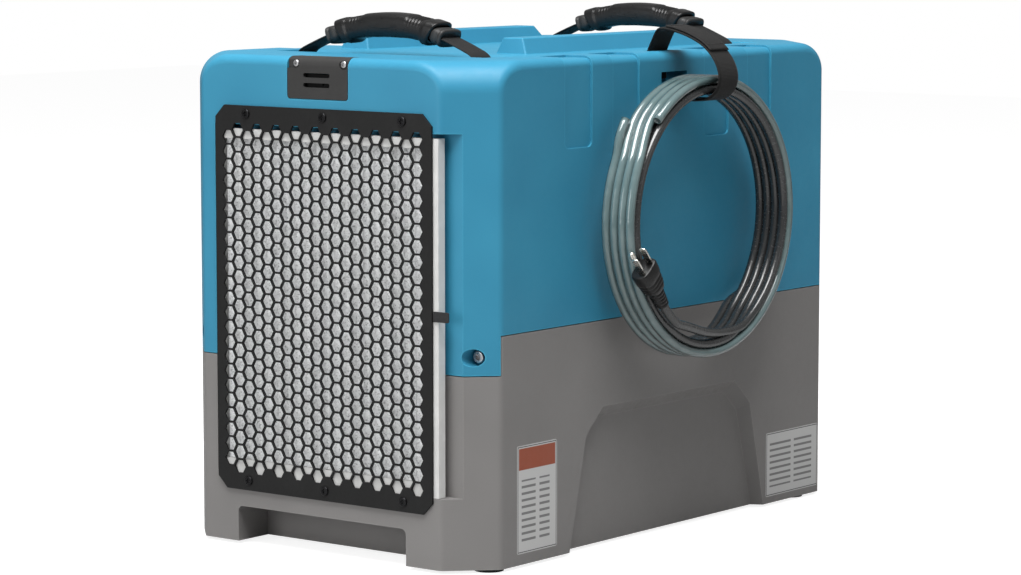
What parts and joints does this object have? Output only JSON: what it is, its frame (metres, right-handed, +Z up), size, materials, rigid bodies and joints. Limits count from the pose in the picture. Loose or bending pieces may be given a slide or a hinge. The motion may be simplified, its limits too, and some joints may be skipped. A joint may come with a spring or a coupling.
{
  "type": "portable dehumidifier",
  "caption": "Portable low-grain restoration dehumidifier: moulded two-tone cabinet, front intake grille with slide-out filter, carry handles and coiled hose and power cord.",
  "frame": {"origin": "centre of the cabinet's footprint, on the floor under the rubber feet", "axes": "+Z up, -Y out of the front intake grille, +X towards the side that carries the coiled hose and cord"},
  "size_m": [0.3773, 0.544, 0.4425],
  "materials": {
    "blue_shell": "moulded, fine grain",
    "grey_shell": "moulded, fine grain",
    "black_plastic": "matt",
    "black_metal": "satin powder coat",
    "webbing": "woven",
    "rubber": "matt",
    "clear_hose": "clear flexible PVC",
    "filter": "pleated media",
    "white_plastic": "matt",
    "steel": "zinc plated",
    "dark_steel": "black zinc",
    "aluminium": "plain",
    "copper": "plain copper",
    "brass": "plain",
    "label": "printed film, left blank",
    "board": "circuit board",
    "lens": "smoked",
    "button": "satin",
    "galvanised": "galvanised sheet"
  },
  "bodies": {
    "cabinet": {"chassis_plate": "galvanised", "compressor": "dark_steel", "compressor_grommets": "rubber", "condensate_pump": "black_plastic", "condensate_tank": "white_plastic", "condenser": "aluminium", "control_board": "board", "control_box": "galvanised", "control_panel": "black_plastic", "cord_gland": "rubber", "corner_bolts": "steel", "discharge_pipe": "copper", "display_lens": "lens", "drain_fitting": "brass", "drain_hose_coil": "clear_hose", "drip_tray": "white_plastic", "evaporator": "aluminium", "fan_motor": "steel", "fan_shroud": "galvanised", "feet_screws": "steel", "gland_nut": "black_plastic", "grille_screws": "dark_steel", "handle_anchors": "steel", "hook_loop_strap": "webbing", "intake_grille": "black_metal", "liquid_line": "copper", "lower_base": "grey_shell", "motor_bracket": "galvanised", "outlet_grille": "black_metal", "plug_blades": "brass", "plug_body": "rubber", "power_cord_coil": "rubber", "power_cord_lead": "rubber", "power_cord_tail": "rubber", "pump_tube": "clear_hose", "rear_screws": "dark_steel", "rubber_feet": "rubber", "run_capacitor": "aluminium", "sensor_board": "board", "sensor_cover": "black_plastic", "sensor_cover_screws": "dark_steel", "side_labels": "label", "suction_pipe": "copper", "tank_lid": "white_plastic", "upper_housing": "blue_shell"},
    "filter": {"filter_frame": "white_plastic", "filter_media": "filter", "filter_pull_tab": "webbing"},
    "fan": {"fan_impeller": "black_plastic"},
    "float": {"float_switch": "white_plastic"},
    "front_handle": {"front_handle_grip": "rubber", "front_handle_webbing": "webbing", "front_handle_clamps": "black_plastic"},
    "rear_handle": {"rear_handle_grip": "rubber", "rear_handle_webbing": "webbing", "rear_handle_clamps": "black_plastic"},
    "power_key": {"power_button": "button"},
    "mode_key": {"mode_button": "button"},
    "down_key": {"down_button": "button"},
    "up_key": {"up_button": "button"}
  },
  "joints": [
    {"name": "filter_slide", "type": "slide", "parent": "cabinet", "child": "filter", "axis": [1, 0, 0], "range_m": [0, 0.235]},
    {"name": "fan_spin", "type": "hinge", "parent": "cabinet", "child": "fan", "pos_m": [0, 0.223, 0.19], "axis": [0, 1, 0], "continuous": true},
    {"name": "float_rise", "type": "slide", "parent": "cabinet", "child": "float", "axis": [0, 0, 1], "range_m": [0, 0.012]},
    {"name": "front_handle_tilt", "type": "hinge", "parent": "cabinet", "child": "front_handle", "pos_m": [0, -0.178, 0.409], "axis": [1, 0, 0], "range_deg": [-15, 15], "stiffness_Nm_per_rad": 0.5},
    {"name": "rear_handle_tilt", "type": "hinge", "parent": "cabinet", "child": "rear_handle", "pos_m": [0, 0.172, 0.409], "axis": [1, 0, 0], "range_deg": [-15, 15], "stiffness_Nm_per_rad": 0.5},
    {"name": "power_press", "type": "slide", "parent": "cabinet", "child": "power_key", "axis": [0, -1, 0], "range_m": [0, 0.0008], "stiffness_N_per_m": 400},
    {"name": "mode_press", "type": "slide", "parent": "cabinet", "child": "mode_key", "axis": [0, -1, 0], "range_m": [0, 0.0008], "stiffness_N_per_m": 400},
    {"name": "down_press", "type": "slide", "parent": "cabinet", "child": "down_key", "axis": [0, -1, 0], "range_m": [0, 0.0008], "stiffness_N_per_m": 400},
    {"name": "up_press", "type": "slide", "parent": "cabinet", "child": "up_key", "axis": [0, -1, 0], "range_m": [0, 0.0008], "stiffness_N_per_m": 400}
  ]
}
